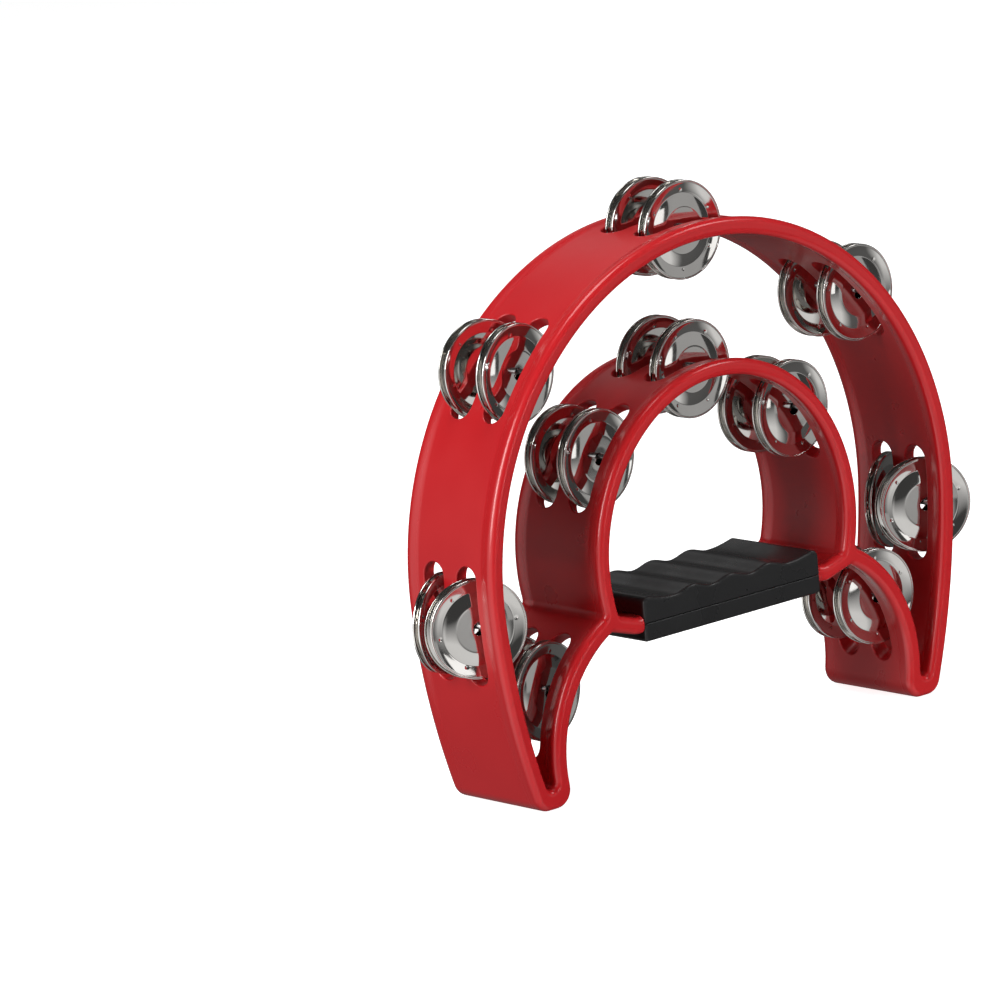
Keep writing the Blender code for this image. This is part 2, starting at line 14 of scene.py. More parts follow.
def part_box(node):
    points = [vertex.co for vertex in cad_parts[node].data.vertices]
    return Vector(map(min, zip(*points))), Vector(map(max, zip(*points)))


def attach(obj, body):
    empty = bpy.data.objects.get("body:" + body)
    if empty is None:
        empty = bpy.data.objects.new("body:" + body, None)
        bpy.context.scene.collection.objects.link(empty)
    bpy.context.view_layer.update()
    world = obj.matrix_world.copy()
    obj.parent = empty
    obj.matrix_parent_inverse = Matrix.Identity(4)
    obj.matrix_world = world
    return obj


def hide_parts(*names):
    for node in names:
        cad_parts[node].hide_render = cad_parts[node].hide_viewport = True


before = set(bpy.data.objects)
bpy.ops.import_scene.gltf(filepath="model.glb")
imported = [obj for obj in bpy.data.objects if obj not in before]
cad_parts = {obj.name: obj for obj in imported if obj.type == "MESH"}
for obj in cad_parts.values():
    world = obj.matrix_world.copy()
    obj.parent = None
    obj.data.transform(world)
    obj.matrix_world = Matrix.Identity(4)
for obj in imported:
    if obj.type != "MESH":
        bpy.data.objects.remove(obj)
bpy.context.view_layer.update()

MM = 0.001
ROOT = "instrument"

# Frame, front view. Depth and the arcs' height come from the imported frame.
FRAME_LOW, FRAME_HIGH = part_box("frame")
DEPTH = FRAME_HIGH.y - FRAME_LOW.y
OUTER_R = 125.0 * MM
FRAME_Z = FRAME_HIGH.z - OUTER_R
OUTER_WALL = 7.0 * MM
INNER_R = 70.0 * MM
INNER_WALL = 6.5 * MM
LEG_START = math.radians(-4.0)
LEG_R = 290.0 * MM
FOOT_R = 7.0 * MM
FLANK_CENTRE = (41.5 * MM, FRAME_Z - 70.0 * MM)
FLANK_INNER_R = 51.3 * MM
FLANK_WALL = 7.2 * MM
NOTCH_R = 2.0 * MM
JUNCTION_R = 2.5 * MM
TIP_R = 2.4 * MM
PALM_FILLET_R = 3.0 * MM
BAR_Z = FRAME_Z - 24.7 * MM
BAR_WALL = 6.5 * MM
BAR_SLOPE = math.radians(16.0)
BAR_BEND_X = 50.0 * MM
BEND_R = 8.0 * MM
BEND_STEPS = 4
ARC_CENTRE = (0.0, FRAME_Z)

# Frame, section.
RIM_ROUND = 2.6 * MM
RIM_FULL_Y = 22.2 * MM
WEB_Y = 17.4 * MM
WEB_INSET = 0.8 * MM
RIM_STEPS = 7
BEAD_STEPS = 6
CHORD = 2.0 * MM
FILLET_STEPS = 8

# Slots, and the small round on their edges.
ROW_Y = 9.3 * MM
SLOT_R = 5.5 * MM
SLOT_LENGTH = 46.8 * MM
FLANK_SLOT_LENGTH = 50.0 * MM
FLANK_SLOT_DROP = math.radians(2.5)
SLOT_EDGE = 0.6 * MM
SLOT_EDGE_STEPS = 4
SLOT_END_STEPS = 9
SLOT_STEP = 2.0 * MM

# Crossbar inside the grip: its rims end in a round just outside the grip.
GRIP_LOW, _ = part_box("grip_lower")
_, GRIP_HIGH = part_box("grip_upper")
NECK_X = GRIP_HIGH.x + 0.3 * MM
NECK_ROUND = 2.6 * MM
NECK_STEPS = 8
NECK_STEP = 0.02 * MM
NECK_HALF_DEPTH = 18.0 * MM
SAME_POINT = 0.001 * MM


def nodes_named(start):
    """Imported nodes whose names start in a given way, in order."""
    return sorted(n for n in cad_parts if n.startswith(start))


def middle_of(low, high):
    """Middle of a box."""
    return tuple((a + b) / 2 for a, b in zip(low, high))


def link_object(name, data):
    """New object in the scene."""
    made = bpy.data.objects.new(name, data)
    bpy.context.scene.collection.objects.link(made)
    return made


# ---- front-view outlines


def polar(centre, radius, angle):
    """Point on a circle in the front view."""
    return (centre[0] + radius * math.cos(angle), centre[1] + radius * math.sin(angle))


def angle_to(centre, point):
    """Direction from a circle's centre to a point."""
    return math.atan2(point[1] - centre[1], point[0] - centre[0])


def circle_cross(centre_a, radius_a, centre_b, radius_b, side):
    """Crossing of two circles; side 1 takes the one left of the line from a to b, -1 the other."""
    dx = centre_b[0] - centre_a[0]
    dz = centre_b[1] - centre_a[1]
    span = math.hypot(dx, dz)
    along = (radius_a ** 2 - radius_b ** 2 + span ** 2) / (2 * span)
    across = math.sqrt(radius_a ** 2 - along ** 2) * side
    return (centre_a[0] + (along * dx - across * dz) / span, centre_a[1] + (along * dz + across * dx) / span)


def leave_circle(point, way, centre, radius):
    """Where a line from a point inside a circle leaves it."""
    base = [point[i] - centre[i] for i in range(2)]
    along = base[0] * way[0] + base[1] * way[1]
    rest = base[0] ** 2 + base[1] ** 2 - radius ** 2
    run = math.sqrt(along ** 2 - rest) - along
    return (point[0] + way[0] * run, point[1] + way[1] * run)


def arc(centre, radius, start, end, grow, wall=None, web=(1.0, 1.0), steps=None, bar=False):
    """Arc of an outline.

    grow is -1 where the material lies inside the circle and 1 where it lies outside. wall names the wall
    whose slots cut this arc, and web is how much of the web's inset its two ends take.
    """
    count = steps or max(3, math.ceil(radius * abs(end - start) / CHORD))
    shape = dict(centre=centre, radius=radius, start=start, end=end, grow=grow)
    return shape | dict(wall=wall, web=web, steps=count, bar=bar)


def line(stops, z, up):
    """Straight top (up 1) or underside (up -1) of the crossbar, as its stops in x."""
    return {"stops": stops, "z": z, "up": up, "bar": True}


def mirrored(item):
    """The same stretch on the other side of the middle plane, run the other way."""
    twin = dict(item)
    if "stops" in item:
        twin["stops"] = [-x for x in reversed(item["stops"])]
        return twin
    twin["centre"] = (-item["centre"][0], item["centre"][1])
    twin["start"] = math.pi - item["end"]
    twin["end"] = math.pi - item["start"]
    twin["web"] = (item["web"][1], item["web"][0])
    if item["wall"] == "flank_right":
        twin["wall"] = "flank_left"
    return twin


def closed_outline(right_half):
    """Outline from its right half, which runs from the top of the middle plane to the bottom."""
    return right_half + [mirrored(item) for item in reversed(right_half)]


def leg_centre():
    """Centre of the leg's large arc, tangent to the outer arc."""
    return polar(ARC_CENTRE, OUTER_R - LEG_R, LEG_START)


def bend_centre():
    """Centre of the bends between the level crossbar and its sloping end."""
    return (BAR_BEND_X, BAR_Z + BAR_WALL / 2 + BEND_R)


def bend_radius(side):
    """Radius of the bend on the bar's top (side 1) or on its underside (side -1)."""
    return BEND_R if side > 0 else BEND_R + BAR_WALL


def slope_cross(side, offset, centre, radius):
    """Centre of a fillet: on a circle, and offset upwards from the sloping end's top or underside."""
    point = polar(bend_centre(), bend_radius(side) - offset, BAR_SLOPE - math.pi / 2)
    return leave_circle(point, (math.cos(BAR_SLOPE), math.sin(BAR_SLOPE)), centre, radius)


def neck_stops():
    """Stops in x along the crossbar's right half, close together where its rims end."""
    turns = [math.pi / 2 * i / NECK_STEPS for i in range(NECK_STEPS + 1)]
    rounds = [NECK_X + NECK_ROUND * (1 - math.sin(turn)) for turn in turns]
    inside = [x for x in rounds if x < BAR_BEND_X]
    return [BAR_BEND_X] + inside + [NECK_X - NECK_STEP, NECK_X / 2, 0.0]


def bar_items(side):
    """Bend and level stretch of the crossbar, on its top (side 1) or its underside (side -1)."""
    radius = bend_radius(side)
    start = BAR_SLOPE - math.pi / 2
    bend = arc(bend_centre(), radius, start, -math.pi / 2, side, steps=BEND_STEPS, bar=True)
    return [bend, line(neck_stops(), BAR_Z + side * BAR_WALL / 2, side)]


def outer_outline():
    """Outside of the frame: outer arc, leg, foot, inside of the flank and underside of the bar."""
    leg = leg_centre()
    flank = FLANK_CENTRE
    leg_reach = math.sqrt((LEG_R - FOOT_R) ** 2 - (FOOT_R - leg[1]) ** 2)
    flank_reach = math.sqrt((FLANK_INNER_R + FOOT_R) ** 2 - (FOOT_R - flank[1]) ** 2)
    heel = (leg[0] + leg_reach, FOOT_R)
    toe = (flank[0] + flank_reach, FOOT_R)
    notch = slope_cross(-1, -NOTCH_R, flank, FLANK_INNER_R - NOTCH_R)
    leg_end = angle_to(leg, heel)
    flank_foot = angle_to(flank, toe)
    flank_notch = angle_to(flank, notch)
    down = -math.pi / 2
    right = [
        arc(ARC_CENTRE, OUTER_R, math.pi / 2, LEG_START, -1, "outer"),
        arc(leg, LEG_R, LEG_START, leg_end, -1, "outer", (1.0, 0.0)),
        arc(heel, FOOT_R, leg_end, down, -1, web=(0.0, 0.0), steps=FILLET_STEPS),
        arc(toe, FOOT_R, down, flank_foot - math.pi, -1, web=(0.0, 0.0), steps=FILLET_STEPS),
        arc(flank, FLANK_INNER_R, flank_foot, flank_notch, 1, "flank_right", (0.0, 1.0)),
        arc(notch, NOTCH_R, flank_notch, BAR_SLOPE + math.pi / 2, 1, steps=FILLET_STEPS),
    ]
    return closed_outline(right + bar_items(-1))


def palm_outline():
    """Hand opening between the inner arc and the crossbar."""
    inside = INNER_R - INNER_WALL
    corner = slope_cross(1, PALM_FILLET_R, ARC_CENTRE, inside - PALM_FILLET_R)
    end = angle_to(ARC_CENTRE, corner)
    right = [
        arc(ARC_CENTRE, inside, math.pi / 2, end, 1, "inner"),
        arc(corner, PALM_FILLET_R, end, BAR_SLOPE - math.pi / 2, 1, steps=FILLET_STEPS),
    ]
    return closed_outline(right + bar_items(1))


def ring_outline():
    """Space between the outer and the inner arc, down to the narrow gap at each foot."""
    leg = leg_centre()
    flank = FLANK_CENTRE
    flank_outer = FLANK_INNER_R + FLANK_WALL
    leg_inner = LEG_R - OUTER_WALL
    tip = circle_cross(leg, leg_inner - TIP_R, flank, flank_outer + TIP_R, 1)
    junction = circle_cross(ARC_CENTRE, INNER_R + JUNCTION_R, flank, flank_outer + JUNCTION_R, 1)
    leg_end = angle_to(leg, tip)
    flank_foot = angle_to(flank, tip)
    flank_top = angle_to(flank, junction)
    inner_end = angle_to(ARC_CENTRE, junction)
    right = [
        arc(ARC_CENTRE, OUTER_R - OUTER_WALL, math.pi / 2, LEG_START, 1, "outer"),
        arc(leg, leg_inner, LEG_START, leg_end, 1, "outer"),
        arc(tip, TIP_R, leg_end, flank_foot - math.pi, 1, steps=FILLET_STEPS),
        arc(flank, flank_outer, flank_foot, flank_top, -1, "flank_right"),
        arc(junction, JUNCTION_R, flank_top - math.pi, inner_end - math.pi, 1, steps=FILLET_STEPS),
        arc(ARC_CENTRE, INNER_R, inner_end, math.pi / 2, -1, "inner"),
    ]
    return closed_outline(right)


# ---- slots


def slot_stops(straight):
    """Stops along a slot: distance from its middle, half width and whether it is one of its round ends.

    The stops belong to the slot's outline on the wall's surface, which is wider by the edge round.
    """
    end = [math.pi / 2 * i / SLOT_END_STEPS for i in range(SLOT_END_STEPS + 1)]
    count = math.ceil(2 * straight / SLOT_STEP)
    middle = [(-straight + 2 * straight * i / count, 0.0) for i in range(1, count)]
    head = [(-straight, turn) for turn in reversed(end)]
    tail = [(straight, turn) for turn in end]
    return head + middle + tail


def slot_point(stop, growth):
    """Place along the slot and half width there, for a slot wider all round by growth."""
    base, turn = stop
    radius = SLOT_R + growth
    side = 1 if base > 0 else -1
    return base + side * radius * math.sin(turn), radius * math.cos(turn)


def find_slots():
    """The ten slot stations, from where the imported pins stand."""
    flank_r = FLANK_INNER_R + FLANK_WALL / 2
    walls = {
        "outer": (ARC_CENTRE, OUTER_R - OUTER_WALL / 2),
        "inner": (ARC_CENTRE, INNER_R - INNER_WALL / 2),
        "flank_left": ((-FLANK_CENTRE[0], FLANK_CENTRE[1]), flank_r),
        "flank_right": (FLANK_CENTRE, flank_r),
    }
    slots = []
    for node in nodes_named("pin_"):
        low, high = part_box(node)
        place = middle_of(low, high)[::2]
        wall = next(wall for wall in walls if node.startswith("pin_" + wall))
        centre, radius = walls[wall]
        angle = angle_to(centre, place)
        length = SLOT_LENGTH
        if wall.startswith("flank"):
            angle -= math.copysign(FLANK_SLOT_DROP, math.pi / 2 - angle)
            length = FLANK_SLOT_LENGTH
        out = (math.cos(angle), math.sin(angle))
        slots.append({
            "wall": wall,
            "middle": polar(centre, radius, angle),
            "out": out,
            "along": (-out[1], out[0]),
            "stops": slot_stops(length / 2 - SLOT_R),
        })
    return slots


def on_circle(slot, run, centre, radius):
    """Point of a circle that lies straight out from a place along a slot."""
    place = [slot["middle"][i] + slot["along"][i] * run for i in range(2)]
    return leave_circle(place, slot["out"], centre, radius)


def arc_samples(item, slots):
    """Angles along an arc, with the slot and stop that each belongs to, if any."""
    start, end = item["start"], item["end"]
    way = 1 if end > start else -1
    plain = [start + (end - start) * i / item["steps"] for i in range(item["steps"] + 1)]
    samples = [(angle, None) for angle in plain]
    radius = item["radius"] + item["grow"] * WEB_INSET
    for number, slot in enumerate(slots):
        if slot["wall"] != item["wall"]:
            continue
        stops = []
        for index, stop in enumerate(slot["stops"]):
            run, _ = slot_point(stop, SLOT_EDGE)
            point = on_circle(slot, run, item["centre"], radius)
            angle = angle_to(item["centre"], point)
            if angle < -math.pi / 2:
                angle += 2 * math.pi
            stops.append((angle, (number, index)))
        low = min(angle for angle, _ in stops)
        high = max(angle for angle, _ in stops)
        room = CHORD / 2 / radius
        samples = [s for s in samples if s[1] or not low - room < s[0] < high + room]
        samples += [s for s in stops if min(start, end) < s[0] <= max(start, end)]
    return sorted(samples, key=lambda s: way * s[0])


def outline_samples(outline, slots):
    """All samples of an outline, with their outward normal and slot stop."""
    samples = []
    for item in outline:
        if "stops" in item:
            flat = dict(normal=(0.0, item["up"]), web=1.0, stop=None, bar=True)
            samples += [dict(flat, place=(x, item["z"])) for x in item["stops"]]
            continue
        for angle, stop in arc_samples(item, slots):
            share = (angle - item["start"]) / (item["end"] - item["start"])
            samples.append({
                "place": polar(item["centre"], item["radius"], angle),
                "normal": (-item["grow"] * math.cos(angle), -item["grow"] * math.sin(angle)),
                "web": item["web"][0] + (item["web"][1] - item["web"][0]) * share,
                "stop": stop,
                "bar": item["bar"],
            })
    return [s for i, s in enumerate(samples) if math.dist(s["place"], samples[i - 1]["place"]) > SAME_POINT]


# ---- frame mesh


def rim_levels():
    """Section from the back face to the web: depth, rim inset, web share, and the normal's two parts."""
    levels = []
    deep = DEPTH / 2 - RIM_FULL_Y
    for i in range(RIM_STEPS):
        turn = math.pi / 2 * (1 - i / RIM_STEPS)
        y = RIM_FULL_Y + deep * math.sin(turn)
        normal = Vector((math.cos(turn) / RIM_ROUND, math.sin(turn) / deep)).normalized()
        levels.append((y, RIM_ROUND * (1 - math.cos(turn)), 0.0, normal))
    for i in range(BEAD_STEPS + 1):
        share = i / BEAD_STEPS
        y = RIM_FULL_Y + (WEB_Y - RIM_FULL_Y) * share
        web = share * share * (3 - 2 * share)
        rise = 6 * share * (1 - share) * WEB_INSET / (RIM_FULL_Y - WEB_Y)
        levels.append((y, 0.0, web, Vector((1.0, -rise)).normalized()))
    return levels


def neck_depth(x):
    """Half depth of the crossbar at a place along it: full outside the grip, thin inside it."""
    past = abs(x) - NECK_X
    if past >= NECK_ROUND:
        return DEPTH / 2
    if past >= 0.0:
        return DEPTH / 2 - NECK_ROUND + math.sqrt(NECK_ROUND ** 2 - (NECK_ROUND - past) ** 2)
    return NECK_HALF_DEPTH


class Builder:
    """Mesh under construction whose vertices each carry their own surface normal."""

    def __init__(self):
        self.points = []
        self.normals = []
        self.faces = []

    def add(self, point, normal):
        """New vertex; returns its number."""
        self.points.append(Vector(point))
        self.normals.append(Vector(normal).normalized())
        return len(self.points) - 1

    def face(self, *corners):
        """New face, turned so that it looks the way its corners' normals do."""
        ring = list(dict.fromkeys(corners))
        if len(ring) < 3:
            return
        a, b, c = (self.points[ring[i]] for i in (0, 1, 2))
        flat = (b - a).cross(c - a)
        look = sum((self.normals[i] for i in ring), Vector())
        self.faces.append(ring if flat.dot(look) > 0 else ring[::-1])

    def to_object(self, name):
        """Finished object with the stored normals."""
        mesh = bpy.data.meshes.new(name)
        mesh.from_pydata(self.points, [], self.faces)
        mesh.shade_smooth()
        mesh.validate()
        mesh.normals_split_custom_set_from_vertices(self.normals)
        return link_object(name, mesh)


def column(build, sample, slots, levels):
    """Vertices of one outline sample from the back face to the front face.

    The middle of the column lists the web's lines: the row lines are there twice, once for each long side
    of a slot, and both are the same vertex where there is no slot.
    """
    half = 0.0
    if sample["stop"]:
        number, index = sample["stop"]
        _, half = slot_point(slots[number]["stops"][index], SLOT_EDGE)
        half = 0.0 if half < SAME_POINT else half
    squeeze = neck_depth(sample["place"][0]) / (DEPTH / 2) if sample["bar"] else 1.0
    nx, nz = sample["normal"]

    def vertex(y, inset, normal):
        point = (sample["place"][0] - nx * inset, y * squeeze, sample["place"][1] - nz * inset)
        return build.add(point, (nx * normal[0], normal[1], nz * normal[0]))

    def rim(side):
        ring = []
        for y, rim_inset, web, normal in levels:
            inset = rim_inset + WEB_INSET * web * sample["web"]
            lean = normal if web == 0.0 else Vector((normal[0], normal[1] * sample["web"]))
            ring.append(vertex(side * y, inset, (lean[0], side * lean[1])))
        return ring

    web_inset = WEB_INSET * sample["web"]
    middle = []
    for y, reach in ((ROW_Y, half), (0.0, None), (-ROW_Y, half)):
        if reach:
            middle += [vertex(y + half, web_inset, (1, 0)), vertex(y - half, web_inset, (1, 0))]
        else:
            middle += [vertex(y, web_inset, (1, 0))] * (1 if reach is None else 2)
    return rim(1) + middle + rim(-1)[::-1]


def slot_edge_rings(build, slot, row_y, surface, columns, line_a, line_b):
    """Round from a wall's surface into a slot; returns its last ring."""
    count = len(slot["stops"])
    first = [columns[i][line_a] for i in range(count)]
    back = [columns[i][line_b] for i in range(1, count - 1)]
    rings = [first + back[::-1]]
    for step in range(1, SLOT_EDGE_STEPS + 1):
        turn = math.pi / 2 * step / SLOT_EDGE_STEPS
        growth = SLOT_EDGE * (1 - math.sin(turn))
        sink = SLOT_EDGE * (1 - math.cos(turn))
        ring = []
        for index, side in [(i, 1) for i in range(count)] + [(i, -1) for i in range(count - 2, 0, -1)]:
            stop = slot["stops"][index]
            run, half = slot_point(stop, growth)
            x, z, normal = surface(run)
            x -= normal[0] * sink
            z -= normal[1] * sink
            lean = -math.copysign(math.sin(stop[1]), stop[0])
            along = slot["along"]
            inward = Vector((lean * along[0], -side * math.cos(stop[1]), lean * along[1]))
            outward = Vector((normal[0], 0.0, normal[1]))
            look = outward * math.cos(turn) + inward * math.sin(turn)
            ring.append(build.add((x, row_y + side * half, z), look))
        rings.append(ring)
    for ring_a, ring_b in zip(rings, rings[1:]):
        join_rings(build, ring_a, ring_b)
    return rings[-1]


def join_rings(build, ring_a, ring_b):
    """Faces between two rings of the same length."""
    count = len(ring_a)
    for i in range(count):
        j = (i + 1) % count
        build.face(ring_a[i], ring_a[j], ring_b[j], ring_b[i])


def surface_of(slot, samples):
    """The wall's surface along a slot, as a function of the run."""
    runs = [slot_point(stop, SLOT_EDGE)[0] for stop in slot["stops"]]
    rows = []
    for sample in samples:
        (x, z), (nx, nz) = sample["place"], sample["normal"]
        inset = WEB_INSET * sample["web"]
        rows.append((x - nx * inset, z - nz * inset, nx, nz))
    table = np.array(rows)

    def surface(run):
        values = [float(np.interp(run, runs, table[:, i])) for i in range(4)]
        return values[0], values[1], (values[2], values[3])

    return surface


def make_frame():
    """The moulded frame, as one closed mesh."""
    build = Builder()
    slots = find_slots()
    levels = rim_levels()
    web_lines = len(levels)
    row_lines = ((ROW_Y, web_lines, web_lines + 1), (-ROW_Y, web_lines + 3, web_lines + 4))
    openings = {(web_lines, web_lines + 1), (web_lines + 3, web_lines + 4)}
    caps = {0: [], -1: []}
    bars = []
    slot_ends = {}
    for outline in (outer_outline(), ring_outline(), palm_outline()):
        samples = outline_samples(outline, slots)
        columns = [column(build, s, slots, levels) for s in samples]
        for i, columns_b in enumerate(columns):
            columns_a = columns[i - 1]
            for j in range(len(columns_b) - 1):
                if (j, j + 1) not in openings:
                    build.face(columns_a[j], columns_b[j], columns_b[j + 1], columns_a[j + 1])
            if not (samples[i]["bar"] and samples[i - 1]["bar"]):
                for side, edges in caps.items():
                    edges.append((columns_a[side], columns_b[side]))
        bars.append([c for c, s in zip(columns, samples) if s["bar"]])
        for number, slot in enumerate(slots):
            cut = [(s, c) for s, c in zip(samples, columns) if s["stop"] and s["stop"][0] == number]
            if not cut:
                continue
            assert len(cut) == len(slot["stops"])
            cut.sort(key=lambda pair: pair[0]["stop"][1])
            surface = surface_of(slot, [s for s, _ in cut])
            for row_y, line_a, line_b in row_lines:
                ring = slot_edge_rings(build, slot, row_y, surface, [c for _, c in cut], line_a, line_b)
                slot_ends.setdefault((number, row_y), []).append(ring)
    for ring_a, ring_b in slot_ends.values():
        join_rings(build, ring_a, ring_b)
    under, _, top = bars
    for side, edges in caps.items():
        edges += [(top[end][side], under[end][side]) for end in (0, -1)]
        for i in range(len(top) - 1):
            build.face(top[i][side], top[i + 1][side], under[i + 1][side], under[i][side])
        fill_cap(build, edges)
    return build.to_object("frame_shell")


def fill_cap(build, edges):
    """Flat faces of the rims between the outlines."""
    mesh = bmesh.new()
    numbers = sorted({number for edge in edges for number in edge})
    verts = {number: mesh.verts.new(build.points[number]) for number in numbers}
    drawn = [mesh.edges.new((verts[a], verts[b])) for a, b in edges]
    normal = build.normals[numbers[0]]
    filled = bmesh.ops.triangle_fill(mesh, use_beauty=True, use_dissolve=False, edges=drawn, normal=normal)
    back = {vert: number for number, vert in verts.items()}
    for face in filled["geom"]:
        if isinstance(face, bmesh.types.BMFace):
            build.face(*(back[vert] for vert in face.verts))
    mesh.free()


frame_shell = make_frame()
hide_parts("frame")
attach(frame_shell, ROOT)


# ---- grip

SHARP_ANGLE = math.radians(35)
PROBE = 0.01 * MM
GRIP_CREST_DROP = 0.8 * MM
FINGER_PITCH = 20.5 * MM
FINGER_DEPTH = 2.0 * MM
LAST_GROOVE_X = 1.5 * FINGER_PITCH
FINGER_STEP = 0.8 * MM
GRIP_EDGE = 1.2 * MM
GRIP_EDGE_STEPS = 6
LIP_R = 3.0 * MM
LIP_STEPS = 8
UNDER_R = 1.4 * MM
UNDER_STEPS = 7
PARTING_EDGE = 0.18 * MM
CHANNEL_HALF_Y = NECK_HALF_DEPTH + 0.3 * MM
CHANNEL_HALF_Z = BAR_WALL / 2 + 0.3 * MM
CHANNEL_PAST = 2.0 * MM


def finger_line(x):
    """Height of the grip's top: finger grooves, rising to a lip at each end."""
    crest = GRIP_HIGH.z - GRIP_CREST_DROP
    if abs(x) <= LAST_GROOVE_X:
        wave = (1 - math.cos(2 * math.pi * x / FINGER_PITCH)) / 2
        return crest - FINGER_DEPTH * wave
    share = (abs(x) - LAST_GROOVE_X) / (GRIP_HIGH.x - LAST_GROOVE_X)
    bottom = crest - FINGER_DEPTH
    return bottom + (GRIP_HIGH.z - bottom) * (1 - math.cos(math.pi / 2 * share))


def apply_modifiers(target):
    """Replace an object's mesh by what its modifiers make of it."""
    graph = bpy.context.evaluated_depsgraph_get()
    mesh = bpy.data.meshes.new_from_object(target.evaluated_get(graph))
    target.modifiers.clear()
    target.data = mesh


def cut_away(target, cutter):
    """Take a cutter's shape out of an object."""
    cut = target.modifiers.new("cut", "BOOLEAN")
    cut.operation = "DIFFERENCE"
    cut.solver = "EXACT"
    cut.object = cutter
    apply_modifiers(target)
    bpy.data.objects.remove(cutter, do_unlink=True)


def close_rings(mesh, rings):
    """Faces between neighbouring rings and over both ends."""
    for ring_a, ring_b in zip(rings, rings[1:]):
        for i in range(len(ring_a)):
            j = (i + 1) % len(ring_a)
            mesh.faces.new((ring_a[i], ring_a[j], ring_b[j], ring_b[i]))
    mesh.faces.new(rings[0])
    mesh.faces.new(rings[-1])


def link_mesh(name, mesh):
    """Object from a bmesh."""
    bmesh.ops.recalc_face_normals(mesh, faces=mesh.faces)
    data = bpy.data.meshes.new(name)
    mesh.to_mesh(data)
    mesh.free()
    return link_object(name, data)


def edge_levels():
    """Round of the grip's front and back edges: depth and inset."""
    levels = []
    for i in range(GRIP_EDGE_STEPS + 1):
        turn = math.pi / 2 * (1 - i / GRIP_EDGE_STEPS)
        levels.append((GRIP_EDGE * (1 - math.sin(turn)), GRIP_EDGE * (1 - math.cos(turn))))
    return levels


def make_grip_half(name, node, section):
    """Grip half from its front-view section.

    Each point of the section comes with the way its edge rounds off and with the parting edge's way.
    """
    mesh = bmesh.new()
    low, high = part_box(node)
    front = [(low.y + deep, deep, inset) for deep, inset in edge_levels()]
    back = [(high.y - deep, deep, inset) for deep, inset in reversed(edge_levels())]
    rings = []
    for y, deep, inset in front + back:
        nick = max(0.0, PARTING_EDGE - deep)
        rings.append([
            mesh.verts.new((x - out_x * inset, y, z - out_z * inset - part_z * nick))
            for x, z, out_x, out_z, part_z in section
        ])
    close_rings(mesh, rings)
    half = link_mesh(name, mesh)
    cut_away(half, make_channel())
    half.data.shade_smooth()
    half.data.set_sharp_from_angle(angle=SHARP_ANGLE)
    even = half.modifiers.new("even_faces", "WEIGHTED_NORMAL")
    even.keep_sharp = True
    apply_modifiers(half)
    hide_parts(node)
    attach(half, ROOT)
    return half


def make_channel():
    """Cutter for the crossbar's room in the grip."""
    mesh = bmesh.new()
    size = ((GRIP_HIGH.x + CHANNEL_PAST) * 2, CHANNEL_HALF_Y * 2, CHANNEL_HALF_Z * 2, 1.0)
    matrix = Matrix.Translation((0.0, 0.0, BAR_Z)) @ Matrix.Diagonal(size)
    bmesh.ops.create_cube(mesh, size=1.0, matrix=matrix)
    return link_mesh("channel_cutter", mesh)


def both_sides(right):
    """A stretch of a grip section and its mirror image."""
    return right, [(-x, z, -out_x, out_z, part_z) for x, z, out_x, out_z, part_z in reversed(right)]


def top_slope(x):
    """Slope of the grip's top."""
    return (finger_line(x + PROBE) - finger_line(x - PROBE)) / (2 * PROBE)


def grip_top():
    """Right-hand lip, fingers and left-hand lip of the upper half."""
    half_x = GRIP_HIGH.x
    lean = math.atan(top_slope(half_x - LIP_R))
    centre = (half_x - LIP_R, GRIP_HIGH.z - LIP_R * (1 + math.sin(lean)) / math.cos(lean))
    lip = []
    for i in range(LIP_STEPS + 1):
        turn = (math.pi / 2 + lean) * i / LIP_STEPS
        lip.append((*polar(centre, LIP_R, turn), math.cos(turn), math.sin(turn), 0.0))
    reach = lip[-1][0] - FINGER_STEP / 2
    count = math.ceil(2 * reach / FINGER_STEP)
    fingers = []
    for i in range(count + 1):
        x = reach - 2 * reach * i / count
        away = Vector((-top_slope(x), 1.0)).normalized()
        fingers.append((x, finger_line(x), away[0], away[1], 0.0))
    lip, left_lip = both_sides(lip)
    return lip + fingers + left_lip


def parting_corners(z, up):
    """Chamfers where a half's ends meet the parting; up is 1 for the upper half."""
    inner = (GRIP_HIGH.x - PARTING_EDGE, z, 1.0, 0.0, -up)
    outer = (GRIP_HIGH.x, z + up * PARTING_EDGE, 1.0, 0.0, 0.0)
    return both_sides([inner, outer] if up > 0 else [outer, inner])


def grip_under():
    """Rounded lower corners of the lower half, left to right."""
    centre = (GRIP_HIGH.x - UNDER_R, GRIP_LOW.z + UNDER_R)
    corner = []
    for i in range(UNDER_STEPS + 1):
        turn = math.pi / 2 * (i / UNDER_STEPS - 1)
        corner.append((*polar(centre, UNDER_R, turn), math.cos(turn), math.sin(turn), 0.0))
    right, left = both_sides(corner)
    return left + right


def make_grip():
    """Both grip halves."""
    right_above, left_above = parting_corners(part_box("grip_upper")[0].z, 1)
    right_below, left_below = parting_corners(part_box("grip_lower")[1].z, -1)
    return [
        make_grip_half("grip_upper_shell", "grip_upper", right_above + grip_top() + left_above),
        make_grip_half("grip_lower_shell", "grip_lower", left_below + grip_under() + right_below),
    ]


grips = make_grip()


# ---- turned pieces


